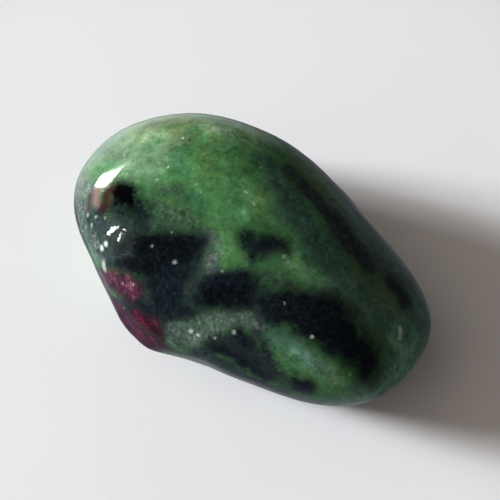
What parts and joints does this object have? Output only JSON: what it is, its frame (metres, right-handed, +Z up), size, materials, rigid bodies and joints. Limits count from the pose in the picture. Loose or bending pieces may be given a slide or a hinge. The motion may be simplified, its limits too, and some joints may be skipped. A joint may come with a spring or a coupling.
{
  "type": "tumbled ruby in zoisite stone",
  "caption": "Polished tumbled pebble of green zoisite with black hornblende bands and a small crimson ruby patch, lying on a flat worn facet.",
  "frame": {"origin": "middle of the bounding box, on the surface that the stone lies on", "axes": "+X along the stone from the blunt head to the narrower tail, +Z up, -Y towards the side with the ruby corner"},
  "size_m": [0.0296, 0.0196, 0.0141],
  "materials": {
    "polished_stone": "polished"
  },
  "bodies": {
    "root": {"tumbled_stone": "polished_stone"}
  },
  "joints": []
}
